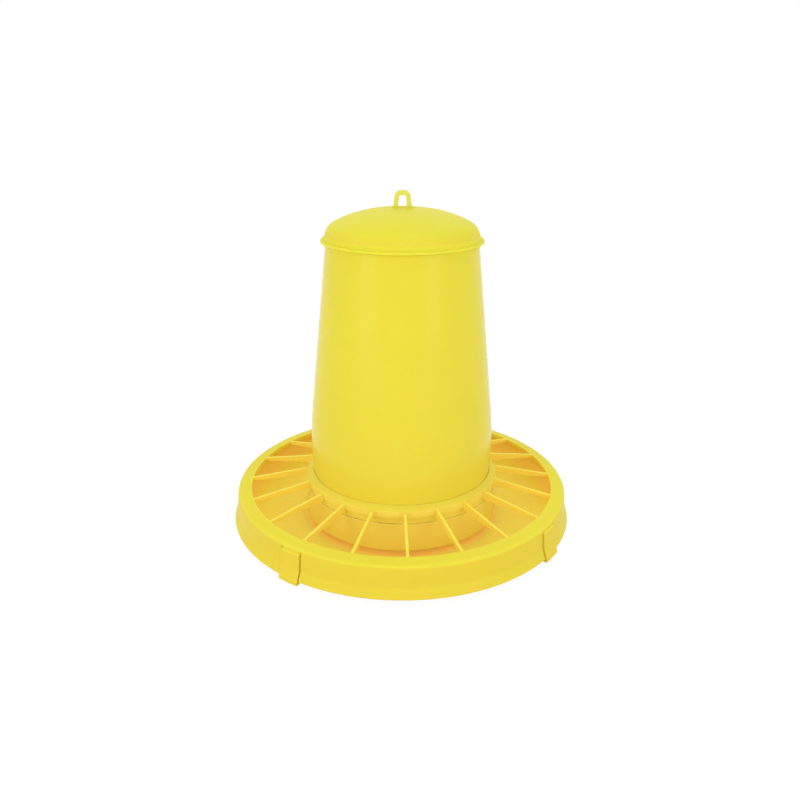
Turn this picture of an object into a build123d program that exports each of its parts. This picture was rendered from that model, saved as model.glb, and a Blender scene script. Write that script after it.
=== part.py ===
from build123d import *
import math
import os

# Hopper feeder for poultry, in millimetres.
# The origin is on the ground under the centre of the pan, +Z is up and the front is -Y.
# It is five plastic mouldings: the pan, the divider ring that clips over the pan's rim,
# the hopper that stands on the pan's vanes and is held down by the ring's collar,
# the hanger that locks into the hopper's mouth, and the lid, with a slot for the hanger's loop.

# Walls and clearances
wall = 2.2
hopper_wall = 2.0
lid_wall = 1.9
seat_gap = 0.3
side_gap = 0.5

# Divider ring: radii are outside ones, and heights are above the ground
ring_radius = 185.2
ring_top = 42.8
ring_width = 15.1
ring_slope = 2.4
ring_round = 4.0
inner_lip_depth = 5.2
crease_spread = 1.6
crease_height = 18.5
lip_spread = 5.8
lip_height = 7.3
fin_count = 20
fin_thickness = 2.8
first_fin_angle = -87.9
fin_outer_depth = 4.0
fin_inner_depth = 9.6
fin_drop = 0.5
fin_round = 0.7

# Collar of the divider ring
collar_top = 55.0
collar_crown = 4.0
collar_depth = 15.3
collar_width = 7.2
collar_face = 8.2
collar_step = 1.5
collar_hoop = 2.0

# Latches: each is a tongue of the ring's skirt between two slits, beside every fifth fin
latch_count = 4
latch_offset = 1.5
latch_arc = 7.0
latch_rise = 1.8
latch_top = 35.0
latch_bottom = 3.8
barb_top = 10.8
barb_thickness = 2.6
barb_reach = 6.3
slit_width = 1.2
slit_depth = 16.0
slit_top = 38.0
catch_width = 15.0
catch_thickness = 6.0

# Feed pan
foot_height = 1.2
foot_width = 2.6
outer_foot_inset = 10.0
inner_foot_spread = 5.0
pan_rim_inset = 7.0
pan_wall_lean = 12.2
pan_corner_round = 14.0
rim_bead_width = 2.2
rim_bead_height = 3.4
cone_base_radius = 74.0
cone_top_radius = 12.0
cone_height = 53.0
cone_round = 16.0
vane_count = 6
vane_thickness = 2.6
vane_top_width = 9.0
vane_inner_height = 18.0

# Hopper
neck_radius = 99.7
mouth_radius = 79.8
hopper_top = 311.0
feed_gap = 6.9
neck_drop = 2.0
shoulder_spread = 6.6
skirt_spread = 9.9
belly_spread = 3.0
belly_rise = 40.5
belly_blend = 35.0
band_depth = 5.0
band_rise = 0.5

# Hanger and its sockets
bar_depth = 16.0
bar_width = 14.0
bar_thickness = 3.0
bar_end_gap = 0.9
bar_end_round = 4.0
bar_rib_height = 7.0
bar_rib_width = 3.0
socket_reach = 8.5
socket_wall = 4.0
loop_rise = 17.5
loop_thickness = 4.0
loop_foot_width = 19.3
loop_head_width = 14.6
loop_head_round = 7.0
loop_rod = 4.8
eye_rise = 0.6
eye_foot_width = 9.0
eye_head_width = 6.8
eye_head_round = 2.5

# Lid
dome_rise = 33.7
crown_inset = 38.3
crown_blend = 30.0
dome_turn_inset = 2.7
dome_turn_drop = 17.0
dome_turn_round = 17.0
lid_band_height = 4.3
lid_band_rise = 0.5
lid_foot_spread = 0.6
brim_width = 4.6
brim_thickness = 2.6
brim_round = 1.0
plug_depth = 7.5
slot_rim_width = 1.0
slot_rim_height = 1.0

# Radii and heights that follow from the sizes above
ring_inner_radius = ring_radius - ring_width
crease_radius = ring_radius + crease_spread
lip_radius = ring_radius + lip_spread
barb_radius = crease_radius - barb_reach
latch_angle = first_fin_angle - 2 * 360 / fin_count - latch_offset
collar_radius = neck_radius + collar_width
collar_bottom = collar_top - collar_depth
collar_bore = neck_radius + seat_gap
neck_height = collar_top - neck_drop
floor_top = foot_height + wall
pan_rim_radius = ring_radius - pan_rim_inset
pan_rim_top = ring_top - ring_slope - wall - seat_gap
pan_corner_radius = pan_rim_radius - pan_wall_lean
catch_bottom = barb_top + side_gap
catch_radius = crease_radius - wall - 2 * side_gap
shoulder_radius = neck_radius + shoulder_spread
shoulder_top = collar_bottom - seat_gap
flare_radius = collar_radius - collar_step - collar_hoop - seat_gap
skirt_radius = neck_radius + skirt_spread
skirt_bottom = floor_top + feed_gap
vane_radius = shoulder_radius - hopper_wall - 2 * side_gap
vane_top = shoulder_top - hopper_wall - seat_gap
belly_radius = neck_radius + belly_spread
belly_height = collar_top + belly_rise
band_height = hopper_top - band_depth
mouth_slope = (belly_radius - mouth_radius) / (band_height - belly_height)
bar_height = hopper_top - bar_depth
lid_seat = hopper_top + seat_gap
lid_apex = hopper_top + dome_rise
loop_top = lid_apex + loop_rise
eye_bottom = lid_apex + eye_rise
eye_top = loop_top - loop_rod
brim_radius = mouth_radius + brim_width
lid_foot_radius = mouth_radius + lid_foot_spread
crown_radius = mouth_radius - crown_inset
dome_turn_radius = mouth_radius - dome_turn_inset
dome_turn_height = lid_apex - dome_turn_drop


def rounded_outline(*corners):
    """A closed outline through corners given as radius, height and corner rounding."""
    points = [(radius, height) for radius, height, _ in corners]
    return FilletPolyline(*points, radius=[corner for _, _, corner in corners], close=True)


def blend_radius(before, corner, after, length):
    """Radius of the arc that rounds a corner and meets both of its sides at a length from it."""
    turn = (Vector(*corner) - Vector(*before)).get_angle(Vector(*after) - Vector(*corner))
    return length / math.tan(math.radians(turn / 2))


def cone_radius_at(height):
    """Radius of the pan's centre cone outside, at a height."""
    share = (height - floor_top) / (cone_height - floor_top)
    return cone_base_radius + (cone_top_radius - cone_base_radius) * share


def neck_radius_at(height):
    """Radius of the hopper's outside on its lower cone, between neck and belly, at a height."""
    return neck_radius + belly_spread * (height - neck_height) / (belly_height - neck_height)


def barrel_radius_at(height):
    """Radius of the hopper's outside on its straight upper cone, at a height."""
    return mouth_radius + (band_height - height) * mouth_slope


# Pan vane, one of the upright webs on the centre cone that carry the hopper
with BuildPart() as pan_vane:
    with BuildSketch(Plane.XZ):
        with BuildLine():
            Polyline(
                (cone_radius_at(floor_top) - wall / 2, floor_top - wall / 2),
                (vane_radius, floor_top - wall / 2),
                (vane_radius, vane_top),
                (vane_radius - vane_top_width, vane_top),
                (cone_radius_at(vane_inner_height) - wall / 2, vane_inner_height),
                close=True,
            )
        make_face()
    extrude(amount=vane_thickness / 2, both=True)

# Pan catch, the bracket outside the pan's wall that a latch hooks under
with BuildPart() as pan_catch:
    with BuildSketch(Plane.XZ):
        with BuildLine():
            Polyline(
                (pan_corner_radius + wall, catch_bottom),
                (catch_radius, catch_bottom),
                (catch_radius, catch_bottom + catch_thickness / 2),
                (catch_radius - catch_thickness / 2, catch_bottom + catch_thickness),
                (pan_corner_radius + wall + 2, catch_bottom + catch_thickness),
                close=True,
            )
        make_face()
    extrude(amount=catch_width / 2, both=True)

# Feed pan: floor on two foot rings, wall with a beaded rim, hollow cone, vanes and catches
rim_slope = (pan_rim_radius - pan_corner_radius) / (pan_rim_top - foot_height)
with BuildPart() as feed_pan:
    with BuildSketch(Plane.XZ):
        with BuildLine():
            rounded_outline(
                (0, cone_height - wall, 0),
                (cone_top_radius - wall / 2, cone_height - wall, cone_round - wall),
                (cone_base_radius - wall, foot_height, 3),
                (pan_corner_radius, foot_height, pan_corner_round),
                (pan_rim_radius, pan_rim_top - rim_bead_height, 0),
                (pan_rim_radius + rim_bead_width, pan_rim_top - rim_bead_height, 0.8),
                (pan_rim_radius + rim_bead_width, pan_rim_top, 1.6),
                (pan_rim_radius - wall, pan_rim_top, 1.0),
                (pan_corner_radius - wall + wall * rim_slope, floor_top, pan_corner_round - wall),
                (cone_base_radius, floor_top, 3),
                (cone_top_radius, cone_height, cone_round),
                (0, cone_height, 0),
            )
        make_face()
    revolve(axis=Axis.Z)
    with BuildSketch(Plane.XY):
        Circle(pan_corner_radius - outer_foot_inset + foot_width)
        Circle(pan_corner_radius - outer_foot_inset, mode=Mode.SUBTRACT)
        Circle(cone_base_radius + inner_foot_spread + foot_width)
        Circle(cone_base_radius + inner_foot_spread, mode=Mode.SUBTRACT)
    extrude(amount=foot_height)
    with PolarLocations(0, vane_count):
        add(pan_vane.part)
    with PolarLocations(0, latch_count, start_angle=latch_angle):
        add(pan_catch.part)

# Ring fin, a web that rises inwards from the ring's inner edge to the collar
with BuildPart() as ring_fin:
    with BuildSketch(Plane.XZ):
        with BuildLine():
            Polyline(
                (collar_radius - collar_step, collar_top - fin_drop),
                (ring_inner_radius + wall / 2, ring_top - fin_drop / 2),
                (ring_inner_radius + wall / 2, ring_top - fin_outer_depth),
                (collar_radius - collar_step, collar_top - fin_inner_depth),
                close=True,
            )
        make_face()
    extrude(amount=fin_thickness / 2, both=True)
    top_face = faces().sort_by(Axis.Z)[-1]
    long_edges = top_face.edges().sort_by(SortBy.LENGTH)[-2:]
    fillet(long_edges, radius=fin_round)

# Ring latch, a raised tongue of the skirt with a barb that hooks under the pan's catch
latch_plane = Plane.XZ.rotated((0, 0, -latch_arc / 2))
with BuildPart() as ring_latch:
    with BuildSketch(latch_plane):
        with BuildLine():
            rounded_outline(
                (ring_radius - wall / 2, latch_top + latch_rise, 0),
                (ring_radius + latch_rise, latch_top, 1),
                (crease_radius + latch_rise, crease_height, 6),
                (lip_radius + latch_rise, lip_height, 3),
                (lip_radius + latch_rise, latch_bottom, 0.8),
                (lip_radius - wall, latch_bottom, 1),
                (barb_radius, barb_top - barb_thickness, 0.6),
                (barb_radius, barb_top, 0.3),
                (lip_radius - 1.8 * wall, barb_top, 0.8),
                (crease_radius - wall, crease_height, 3),
            )
        make_face()
    revolve(axis=Axis.Z, revolution_arc=latch_arc)

# Divider ring: crowned top over the pan's rim, flared skirt, fins, collar and latches
latch_half_width = crease_radius * math.sin(math.radians(latch_arc / 2))
with BuildPart() as divider_ring:
    with BuildSketch(Plane.XZ):
        with BuildLine():
            rounded_outline(
                (ring_inner_radius, ring_top, 1.2),
                (ring_radius, ring_top - ring_slope, ring_round),
                (crease_radius, crease_height, 6),
                (lip_radius, lip_height, 0.7),
                (lip_radius - wall, lip_height, 0.7),
                (crease_radius - wall, crease_height + 1, 6),
                (ring_radius - wall, ring_top - ring_slope - wall, ring_round - wall),
                (ring_inner_radius + wall, ring_top - wall, 0.8),
                (ring_inner_radius + wall, ring_top - inner_lip_depth, 0.6),
                (ring_inner_radius, ring_top - inner_lip_depth, 0.6),
            )
        make_face()
        with BuildLine():
            rounded_outline(
                (neck_radius_at(collar_top + collar_crown) + seat_gap, collar_top + collar_crown, 0.3),
                (collar_radius, collar_top, 1.8),
                (collar_radius, collar_top - collar_face, 0.6),
                (collar_radius - collar_step, collar_top - collar_face, 0),
                (collar_radius - collar_step, collar_bottom, 0.5),
                (flare_radius + seat_gap, collar_bottom, 0),
                (flare_radius + seat_gap, collar_bottom + 2, 1),
                (collar_bore, neck_height + 1, 1),
            )
        make_face()
    revolve(axis=Axis.Z)
    with PolarLocations(0, latch_count, start_angle=latch_angle):
        with Locations(
            (lip_radius - slit_depth / 4, latch_half_width + slit_width / 2, slit_top / 2),
            (lip_radius - slit_depth / 4, -latch_half_width - slit_width / 2, slit_top / 2),
        ):
            Box(slit_depth, slit_width, slit_top, mode=Mode.SUBTRACT)
    with PolarLocations(0, latch_count, start_angle=latch_angle):
        add(ring_latch.part)
    with PolarLocations(0, fin_count, start_angle=first_fin_angle):
        add(ring_fin.part)

# Hanger socket, a slotted block inside the hopper's mouth, open at one side for the bar
socket_bottom = bar_height - seat_gap - socket_wall
socket_top = bar_height + bar_thickness + seat_gap + socket_wall
socket_radius = barrel_radius_at(socket_top) - hopper_wall - socket_reach
with BuildPart() as hanger_socket:
    with BuildSketch(Plane.XZ):
        with BuildLine():
            Polyline(
                (socket_radius, socket_bottom + socket_wall / 2),
                (barrel_radius_at(socket_bottom) - hopper_wall / 2, socket_bottom - socket_reach / 2),
                (barrel_radius_at(socket_top) - hopper_wall / 2, socket_top),
                (socket_radius, socket_top),
                close=True,
            )
        make_face()
    extrude(amount=bar_width / 2 + socket_wall, both=True)
    with Locations((mouth_radius, socket_wall / 2, bar_height + bar_thickness / 2)):
        Box(
            4 * socket_reach,
            bar_width + 2 * seat_gap + socket_wall,
            bar_thickness + 2 * seat_gap,
            mode=Mode.SUBTRACT,
        )

# Hopper: thicker band round the mouth, straight upper cone that bows into the neck,
# shoulder under the ring's collar and the skirt that meters the feed
mouth_bore = barrel_radius_at(hopper_top) - hopper_wall
belly_round = blend_radius(
    (neck_radius, neck_height),
    (belly_radius, belly_height),
    (mouth_radius, band_height),
    belly_blend,
)
with BuildPart() as hopper:
    with BuildSketch(Plane.XZ):
        with BuildLine():
            rounded_outline(
                (skirt_radius, skirt_bottom, 0.7),
                (shoulder_radius, shoulder_top, 1.2),
                (flare_radius, shoulder_top, 0),
                (flare_radius, shoulder_top + 2, 1),
                (neck_radius, neck_height, 4),
                (belly_radius, belly_height, belly_round),
                (mouth_radius, band_height, 0),
                (mouth_radius + band_rise, band_height, 0),
                (barrel_radius_at(hopper_top) + band_rise, hopper_top, 0.9),
                (mouth_bore, hopper_top, 0.6),
                (belly_radius - hopper_wall, belly_height, belly_round),
                (neck_radius - hopper_wall, neck_height, 4),
                (flare_radius - hopper_wall, shoulder_top + 1, 1),
                (flare_radius - hopper_wall, shoulder_top - hopper_wall, 0.6),
                (shoulder_radius - hopper_wall, shoulder_top - hopper_wall, 0.6),
                (skirt_radius - hopper_wall, skirt_bottom, 0.7),
            )
        make_face()
    revolve(axis=Axis.Z)
    with PolarLocations(0, 2):
        add(hanger_socket.part)

# Hanger: cross bar with a rib, and the stem that ends in the loop above the lid
bar_half_length = barrel_radius_at(bar_height + bar_thickness) - hopper_wall - bar_end_gap
with BuildPart() as hanger:
    with BuildSketch(Plane.XY.offset(bar_height)):
        RectangleRounded(2 * bar_half_length, bar_width, bar_end_round)
    extrude(amount=bar_thickness)
    with BuildSketch(Plane.XY.offset(bar_height + bar_thickness / 2)):
        Rectangle(2 * (socket_radius - side_gap), bar_rib_width)
    extrude(amount=bar_thickness / 2 + bar_rib_height)
    with BuildSketch(Plane.XZ):
        with BuildLine():
            rounded_outline(
                (-loop_foot_width / 2, bar_height + bar_thickness / 2, 0),
                (loop_foot_width / 2, bar_height + bar_thickness / 2, 0),
                (loop_foot_width / 2, eye_bottom, 2),
                (loop_head_width / 2, loop_top, loop_head_round),
                (-loop_head_width / 2, loop_top, loop_head_round),
                (-loop_foot_width / 2, eye_bottom, 2),
            )
        make_face()
        with BuildLine():
            rounded_outline(
                (-eye_foot_width / 2, eye_bottom, 1.5),
                (eye_foot_width / 2, eye_bottom, 1.5),
                (eye_head_width / 2, eye_top, eye_head_round),
                (-eye_head_width / 2, eye_top, eye_head_round),
            )
        make_face(mode=Mode.SUBTRACT)
    extrude(amount=loop_thickness / 2, both=True)

# Lid: crowned dome, side with a low band over the brim, plug inside the hopper's mouth,
# and a rimmed slot over the hanger's loop
lid_band_top = lid_seat + brim_thickness + lid_band_height
plug_radius = mouth_bore - side_gap
crown_round = blend_radius(
    (0, lid_apex),
    (crown_radius, lid_apex),
    (dome_turn_radius, dome_turn_height),
    min(crown_blend, 0.8 * crown_radius),
)
with BuildPart() as lid:
    with BuildSketch(Plane.XZ):
        with BuildLine():
            rounded_outline(
                (0, lid_apex, 0),
                (crown_radius, lid_apex, crown_round),
                (dome_turn_radius, dome_turn_height, dome_turn_round),
                (lid_foot_radius - lid_band_rise, lid_band_top, 0),
                (lid_foot_radius, lid_band_top - lid_band_rise, 0.4),
                (lid_foot_radius, lid_seat + brim_thickness, 0.6),
                (brim_radius, lid_seat + brim_thickness, brim_round),
                (brim_radius, lid_seat, 0.8),
                (plug_radius, lid_seat, 0),
                (plug_radius, lid_seat - plug_depth, 0.7),
                (plug_radius - lid_wall, lid_seat - plug_depth, 0.7),
                (plug_radius - lid_wall, lid_seat + lid_wall, 0),
                (lid_foot_radius - lid_wall, lid_seat + lid_wall, 0),
                (dome_turn_radius - 0.9 * lid_wall, dome_turn_height - 0.7 * lid_wall,
                 dome_turn_round - lid_wall),
                (crown_radius, lid_apex - lid_wall, crown_round - 4 * lid_wall),
                (0, lid_apex - lid_wall, 0),
            )
        make_face()
    revolve(axis=Axis.Z)
    slot_length = loop_foot_width + 2 * side_gap
    slot_width = loop_thickness + 2 * side_gap
    with BuildSketch(Plane.XY.offset(lid_apex - lid_wall / 2)):
        RectangleRounded(slot_length + 2 * slot_rim_width, slot_width + 2 * slot_rim_width, 1.6)
    extrude(amount=lid_wall / 2 + slot_rim_height)
    with BuildSketch(Plane.XY.offset(lid_apex - 2 * lid_wall)):
        RectangleRounded(slot_length, slot_width, 0.8)
    extrude(amount=4 * lid_wall, mode=Mode.SUBTRACT)

feed_pan.part.label = "feed_pan"
divider_ring.part.label = "divider_ring"
hopper.part.label = "hopper"
hanger.part.label = "hanger"
lid.part.label = "lid"

os.makedirs("parts", exist_ok=True)
for piece in (feed_pan, divider_ring, hopper, hanger, lid):
    export_step(piece.part, f"parts/{piece.part.label}.step")
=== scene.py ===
import math
import bpy
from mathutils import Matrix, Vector

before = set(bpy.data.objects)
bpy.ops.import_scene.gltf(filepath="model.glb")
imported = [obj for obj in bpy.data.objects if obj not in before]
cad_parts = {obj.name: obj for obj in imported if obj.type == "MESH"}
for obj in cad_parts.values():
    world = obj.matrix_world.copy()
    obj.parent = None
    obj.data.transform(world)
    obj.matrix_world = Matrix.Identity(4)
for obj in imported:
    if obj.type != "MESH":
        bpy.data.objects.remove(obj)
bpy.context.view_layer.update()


# Node helpers

def node(tree, kind, **inputs):
    """A shader node with its input sockets set by name."""
    made = tree.nodes.new(kind)
    for name, value in inputs.items():
        made.inputs[name.replace("_", " ")].default_value = value
    return made


def maths(tree, operation, first, second):
    """The result of an operation on two sockets."""
    made = tree.nodes.new("ShaderNodeMath")
    made.operation = operation
    tree.links.new(first, made.inputs[0])
    tree.links.new(second, made.inputs[1])
    return made.outputs["Value"]


def ramp(tree, socket, start, end):
    """A share that goes from 0 to 1 as a value goes from start to end."""
    share = node(tree, "ShaderNodeMapRange", From_Min=start, From_Max=end)
    tree.links.new(socket, share.inputs["Value"])
    return share.outputs["Result"]


# Regions of the surface where light and shade are painted, by position in metres and by slope

def measures(tree, place):
    """Sockets for the distance from the object's axis, the height, how far the surface faces up
    (1) or down (-1), and how level it is, either way up."""
    flat = tree.nodes.new("ShaderNodeVectorMath")
    flat.operation = "MULTIPLY"
    flat.inputs[1].default_value = (1, 1, 0)
    radius = tree.nodes.new("ShaderNodeVectorMath")
    radius.operation = "LENGTH"
    height = tree.nodes.new("ShaderNodeSeparateXYZ")
    facing = tree.nodes.new("ShaderNodeSeparateXYZ")
    level = tree.nodes.new("ShaderNodeMath")
    level.operation = "ABSOLUTE"
    tree.links.new(place.outputs["Object"], flat.inputs[0])
    tree.links.new(flat.outputs["Vector"], radius.inputs[0])
    tree.links.new(place.outputs["Object"], height.inputs["Vector"])
    tree.links.new(place.outputs["Normal"], facing.inputs["Vector"])
    tree.links.new(facing.outputs["Z"], level.inputs[0])
    return {
        "radius": radius.outputs["Value"],
        "height": height.outputs["Z"],
        "upward": facing.outputs["Z"],
        "level": level.outputs["Value"],
    }


def region(tree, measured, ranges):
    """The share of a region, given as ranges of the measures over which it sets in."""
    share = None
    for measure, start, end in ranges:
        part = ramp(tree, measured[measure], start, end)
        share = maths(tree, "MULTIPLY", share, part) if share else part
    return share


FACES_UP = ("upward", 0.0, 0.2)
UPRIGHT = ("level", 0.5, 0.1)
LEVEL = ("level", 0.5, 0.9)
STEEP = ("level", 0.75, 0.25)
DOME_STEEP = ("level", 0.75, 0.30)
DOME_FOOT = ("height", 0.3180, 0.3188)
HOPPER_LOWER_PART = ("height", 0.150, 0.060)
HOPPER_SKIRT = ("height", 0.050, 0.040)
RING_SKIRT = ("radius", 0.178, 0.184)
INSIDE_RING_TOP = ("radius", 0.172, 0.170)
COLLAR = ("radius", 0.112, 0.106)
COLLAR_SIDE = ("radius", 0.112, 0.110)
PAN_WALL = ("radius", 0.150, 0.158)
ABOVE_PAN_FLOOR = ("height", 0.010, 0.022)
UNDER_HOPPER = ("radius", 0.1120, 0.1095)


# Materials: satin, slightly translucent moulded plastic, with painted light and shade and a painted
# glow

TONE_CONTRAST = 0.18
PLASTIC_IOR = 1.49
LIGHT_DEPTH = 0.004
LIGHT_SPREAD = (1.0, 0.5, 0.08)


def drifting_colour(tree, place, pale, deep):
    """A colour that drifts softly between two tones."""
    drift = node(tree, "ShaderNodeTexNoise", Scale=9.0, Detail=3.0, Roughness=0.5)
    tone = tree.nodes.new("ShaderNodeValToRGB")
    low, high = tone.color_ramp.elements
    low.position = 0.5 - TONE_CONTRAST
    low.color = (*deep, 1)
    high.position = 0.5 + TONE_CONTRAST
    high.color = (*pale, 1)
    tree.links.new(place.outputs["Object"], drift.inputs["Vector"])
    tree.links.new(drift.outputs["Fac"], tone.inputs["Fac"])
    return tone.outputs["Color"]


def with_painted_shading(tree, measured, colour, shading_colour, ranges):
    """A colour that turns to a colour of painted light and shade in a region."""
    mix = tree.nodes.new("ShaderNodeMix")
    mix.data_type = "RGBA"
    mix.inputs["B"].default_value = (*shading_colour, 1)
    tree.links.new(region(tree, measured, ranges), mix.inputs["Factor"])
    tree.links.new(colour, mix.inputs["A"])
    return mix.outputs["Result"]


def paint_glow(tree, measured, shader, painted_glow_colour, regions):
    """A painted glow, an emission standing in for light through thin plastic, with a strength for
    each region.
    """
    total = None
    for strength, *ranges in regions:
        part = node(tree, "ShaderNodeMath")
        part.operation = "MULTIPLY_ADD"
        part.inputs[1].default_value = strength
        part.inputs[2].default_value = 0
        tree.links.new(region(tree, measured, ranges), part.inputs[0])
        if total:
            tree.links.new(total, part.inputs[2])
        total = part.outputs["Value"]
    shader.inputs["Emission Color"].default_value = (*painted_glow_colour, 1)
    tree.links.new(total, shader.inputs["Emission Strength"])


def patchy_roughness(tree, place, shader, roughness):
    """Roughness that differs a little from patch to patch."""
    patch = node(tree, "ShaderNodeTexNoise", Scale=28.0, Detail=4.0, Roughness=0.6)
    sheen = node(
        tree, "ShaderNodeMapRange", To_Min=roughness - 0.04, To_Max=roughness + 0.05
    )
    tree.links.new(place.outputs["Object"], patch.inputs["Vector"])
    tree.links.new(patch.outputs["Fac"], sheen.inputs["Value"])
    tree.links.new(sheen.outputs["Result"], shader.inputs["Roughness"])


def moulded_skin(tree, place, shader):
    """A fine grain over the broad, faint waves of a moulding."""
    grain = node(tree, "ShaderNodeTexNoise", Scale=900.0, Detail=2.0, Roughness=0.5)
    wave = node(tree, "ShaderNodeTexNoise", Scale=22.0, Detail=1.0, Roughness=0.4)
    fine = node(tree, "ShaderNodeBump", Strength=0.06, Distance=0.0002)
    broad = node(tree, "ShaderNodeBump", Strength=0.12, Distance=0.001)
    tree.links.new(place.outputs["Object"], grain.inputs["Vector"])
    tree.links.new(place.outputs["Object"], wave.inputs["Vector"])
    tree.links.new(grain.outputs["Fac"], fine.inputs["Height"])
    tree.links.new(wave.outputs["Fac"], broad.inputs["Height"])
    tree.links.new(broad.outputs["Normal"], fine.inputs["Normal"])
    tree.links.new(fine.outputs["Normal"], shader.inputs["Normal"])


def plastic(name, pale, deep, roughness, gloss, glow, painted_light_and_shade=(), painted_glow_colour=None, painted_glow_regions=()):
    """Moulded plastic in two tones, with painted light and shade in regions of the surface.

    Each colour of painted light and shade comes with the ranges of its region, and each part of
    the painted glow is its emission strength and the ranges of its region.
    """
    material = bpy.data.materials.new(name)
    material.use_nodes = True
    tree = material.node_tree
    shader = tree.nodes["Principled BSDF"]
    place = tree.nodes.new("ShaderNodeTexCoord")
    measured = measures(tree, place)

    colour = drifting_colour(tree, place, pale, deep)
    # painted light and shade: each region's colour is mixed over the plastic's tone
    for shading_colour, *ranges in painted_light_and_shade:
        colour = with_painted_shading(tree, measured, colour, shading_colour, ranges)
    tree.links.new(colour, shader.inputs["Base Color"])
    # painted glow: an emission set on the plastic, which is no lamp
    if painted_glow_colour:
        paint_glow(tree, measured, shader, painted_glow_colour, painted_glow_regions)
    patchy_roughness(tree, place, shader, roughness)
    moulded_skin(tree, place, shader)

    shader.inputs["IOR"].default_value = PLASTIC_IOR
    shader.inputs["Specular IOR Level"].default_value = gloss
    shader.inputs["Subsurface Weight"].default_value = glow
    shader.inputs["Subsurface Radius"].default_value = LIGHT_SPREAD
    shader.inputs["Subsurface Scale"].default_value = LIGHT_DEPTH
    return material


PLASTICS = {
    "hopper": plastic(
        "hopper plastic",
        pale=(0.85, 0.725, 0.052),
        deep=(0.83, 0.705, 0.048),
        roughness=0.24,
        gloss=0.14,
        glow=0.3,
        painted_light_and_shade=[
            # painted shade: the lower part turns a little darker and warmer towards the bottom
            ((0.86, 0.705, 0.058), HOPPER_LOWER_PART),
            # painted light: the skirt under the collar lighter and warmer, lifting its shade
            ((0.94, 0.74, 0.120), HOPPER_SKIRT),
        ],
    ),
    "lid": plastic(
        "lid plastic",
        pale=(0.855, 0.785, 0.062),
        deep=(0.835, 0.765, 0.057),
        roughness=0.42,
        gloss=0.05,
        glow=0.3,
        # painted shade: the steep sides of the dome, above its foot, darker and more golden
        painted_light_and_shade=[((0.85, 0.70, 0.062), DOME_STEEP, DOME_FOOT)],
    ),
    "hanger": plastic(
        "hanger plastic",
        pale=(0.81, 0.76, 0.130),
        deep=(0.79, 0.74, 0.120),
        roughness=0.38,
        gloss=0.08,
        glow=0.1,
    ),
    "divider_ring": plastic(
        "ring plastic",
        pale=(0.89, 0.79, 0.066),
        deep=(0.87, 0.76, 0.060),
        roughness=0.38,
        gloss=0.05,
        glow=0.3,
        painted_light_and_shade=[
            # painted shade: the steep outer skirt darker and more golden than the top
            ((0.845, 0.645, 0.054), STEEP, RING_SKIRT),
            # painted light: level faces inside the ring top, such as the fin tops, lighter
            ((1.0, 0.88, 0.110), LEVEL, INSIDE_RING_TOP),
            # painted shade: upright faces inside the ring top, the fin sides, orange
            ((0.97, 0.74, 0.095), UPRIGHT, INSIDE_RING_TOP),
            # painted shade: the collar round the hopper darker and warmer
            ((0.86, 0.71, 0.070), COLLAR),
            # painted light: the collar's upright side lighter
            ((0.94, 0.78, 0.115), UPRIGHT, COLLAR_SIDE),
        ],
    ),
    "feed_pan": plastic(
        "pan plastic",
        pale=(0.98, 0.82, 0.112),
        deep=(0.96, 0.80, 0.106),
        roughness=0.42,
        gloss=0.05,
        glow=0.3,
        painted_light_and_shade=[
            # painted shade: the wall above the trough floor orange
            ((1.0, 0.665, 0.145), ABOVE_PAN_FLOOR, PAN_WALL, FACES_UP),
            # painted shade: the floor under the hopper deep orange
            ((0.97, 0.54, 0.070), UNDER_HOPPER, FACES_UP),
        ],
        # painted glow: orange emission, strong on the floor under the hopper and faint on every face
        # that doesn't face down
        painted_glow_colour=(0.33, 0.19, 0.030),
        painted_glow_regions=[
            (0.80, UNDER_HOPPER, FACES_UP),
            (0.25, FACES_UP),
        ],
    ),
}
for name, material in PLASTICS.items():
    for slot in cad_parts[name].material_slots:
        slot.material = material


# Floor and background

FLOOR_RADIUS = 6.0
FLOOR_HEIGHT = -0.0004
FLOOR_CORNERS = 64
FLOOR_WHITE_SHARE = 0.9
FLOOR_WHITE_STRENGTH = 1.05
WORLD_STRENGTH = 0.66
BACKDROP_STRENGTH = 1.0


def shows_backdrop(tree):
    """A share of 1 for the rays that see the white backdrop: straight, mirrored or through glass."""
    seen = tree.nodes.new("ShaderNodeLightPath")
    share = seen.outputs["Is Camera Ray"]
    for other in ("Is Glossy Ray", "Is Transmission Ray"):
        share = maths(tree, "MAXIMUM", share, seen.outputs[other])
    return share


def floor_material():
    """Matt white floor whose part in the light reaches white and keeps the shadow."""
    material = bpy.data.materials.new("studio floor")
    material.use_nodes = True
    tree = material.node_tree
    shader = tree.nodes["Principled BSDF"]
    shader.inputs["Base Color"].default_value = (0.9, 0.9, 0.9, 1)
    shader.inputs["Roughness"].default_value = 0.9
    shader.inputs["Specular IOR Level"].default_value = 0.1
    white = node(tree, "ShaderNodeEmission", Strength=FLOOR_WHITE_STRENGTH)
    share = tree.nodes.new("ShaderNodeMath")
    share.operation = "MULTIPLY"
    share.inputs[1].default_value = FLOOR_WHITE_SHARE
    mix = tree.nodes.new("ShaderNodeMixShader")
    tree.links.new(shows_backdrop(tree), share.inputs[0])
    tree.links.new(share.outputs["Value"], mix.inputs["Fac"])
    tree.links.new(shader.outputs["BSDF"], mix.inputs[1])
    tree.links.new(white.outputs["Emission"], mix.inputs[2])
    tree.links.new(mix.outputs["Shader"], tree.nodes["Material Output"].inputs["Surface"])
    return material


def disc(name, radius, height, count):
    """A flat round sheet facing up."""
    turns = [2 * math.pi * k / count for k in range(count)]
    corners = [(radius * math.cos(turn), radius * math.sin(turn), height) for turn in turns]
    mesh = bpy.data.meshes.new(name)
    mesh.from_pydata(corners, [], [list(range(count))])
    made = bpy.data.objects.new(name, mesh)
    bpy.context.scene.collection.objects.link(made)
    return made


floor = disc("floor", FLOOR_RADIUS, FLOOR_HEIGHT, FLOOR_CORNERS)
floor.data.materials.append(floor_material())

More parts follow.
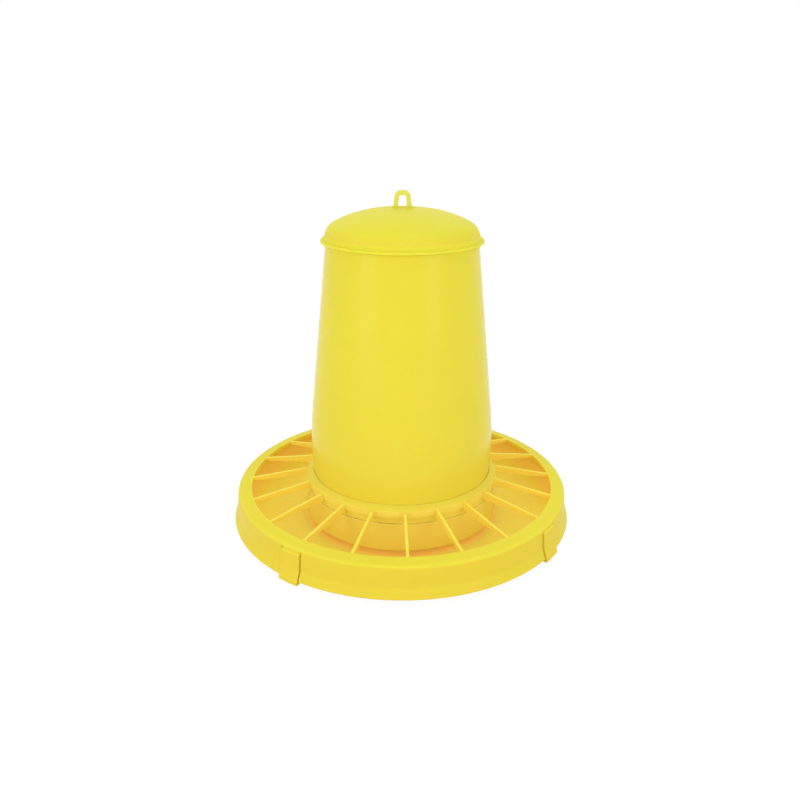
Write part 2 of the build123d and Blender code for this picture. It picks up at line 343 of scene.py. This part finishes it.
world = bpy.data.worlds.new("studio")
bpy.context.scene.world = world
world.use_nodes = True
tree = world.node_tree
soft = tree.nodes["Background"]
soft.inputs["Color"].default_value = (1, 1, 1, 1)
soft.inputs["Strength"].default_value = WORLD_STRENGTH
clear = node(tree, "ShaderNodeBackground", Color=(1, 1, 1, 1), Strength=BACKDROP_STRENGTH)
mix = tree.nodes.new("ShaderNodeMixShader")
tree.links.new(shows_backdrop(tree), mix.inputs["Fac"])
tree.links.new(soft.outputs["Background"], mix.inputs[1])
tree.links.new(clear.outputs["Background"], mix.inputs[2])
tree.links.new(mix.outputs["Shader"], tree.nodes["World Output"].inputs["Surface"])


# Lights

LIT_POINT = (0.0, 0.0, 0.17)
# name: place (m), width (m), height (m), power (W)
SOFT_BOXES = {
    "left softbox": ((-1.05, -0.95, 0.55), 0.6, 1.1, 4.4),
    "right softbox": ((0.98, -1.12, 0.55), 0.6, 1.1, 4.2),
    "front softbox": ((0.0, -1.7, 1.05), 1.1, 0.8, 2.2),
    "top softbox": ((0.0, 0.1, 1.7), 1.4, 1.4, 2.4),
    "back softbox": ((0.0, 1.2, 1.3), 1.4, 0.8, 2.4),
}
for name, (place, width, height, power) in SOFT_BOXES.items():
    lamp = bpy.data.lights.new(name, "AREA")
    lamp.shape = "RECTANGLE"
    lamp.size = width
    lamp.size_y = height
    lamp.energy = power
    made = bpy.data.objects.new(name, lamp)
    made.location = place
    aim = Vector(LIT_POINT) - Vector(place)
    made.rotation_euler = aim.to_track_quat("-Z", "Y").to_euler()
    bpy.context.scene.collection.objects.link(made)


# Camera at the photograph's angle

FRAME_PIXELS = 800.0
FOCAL_PIXELS = 749.0
SENSOR_WIDTH = 36.0
CAMERA_PLACE = (0.0, -0.779, 0.435)
CAMERA_DOWN = 21.0
CAMERA_ROLL = -0.25

camera_data = bpy.data.cameras.new("camera")
camera_data.sensor_width = SENSOR_WIDTH
camera_data.lens = FOCAL_PIXELS * SENSOR_WIDTH / FRAME_PIXELS
camera_data.shift_x = -0.00365
camera = bpy.data.objects.new("camera", camera_data)
camera.location = CAMERA_PLACE
camera.rotation_euler = (math.radians(90 - CAMERA_DOWN), math.radians(CAMERA_ROLL), 0.0)
bpy.context.scene.collection.objects.link(camera)
bpy.context.scene.camera = camera
bpy.context.scene.view_settings.view_transform = "Standard"
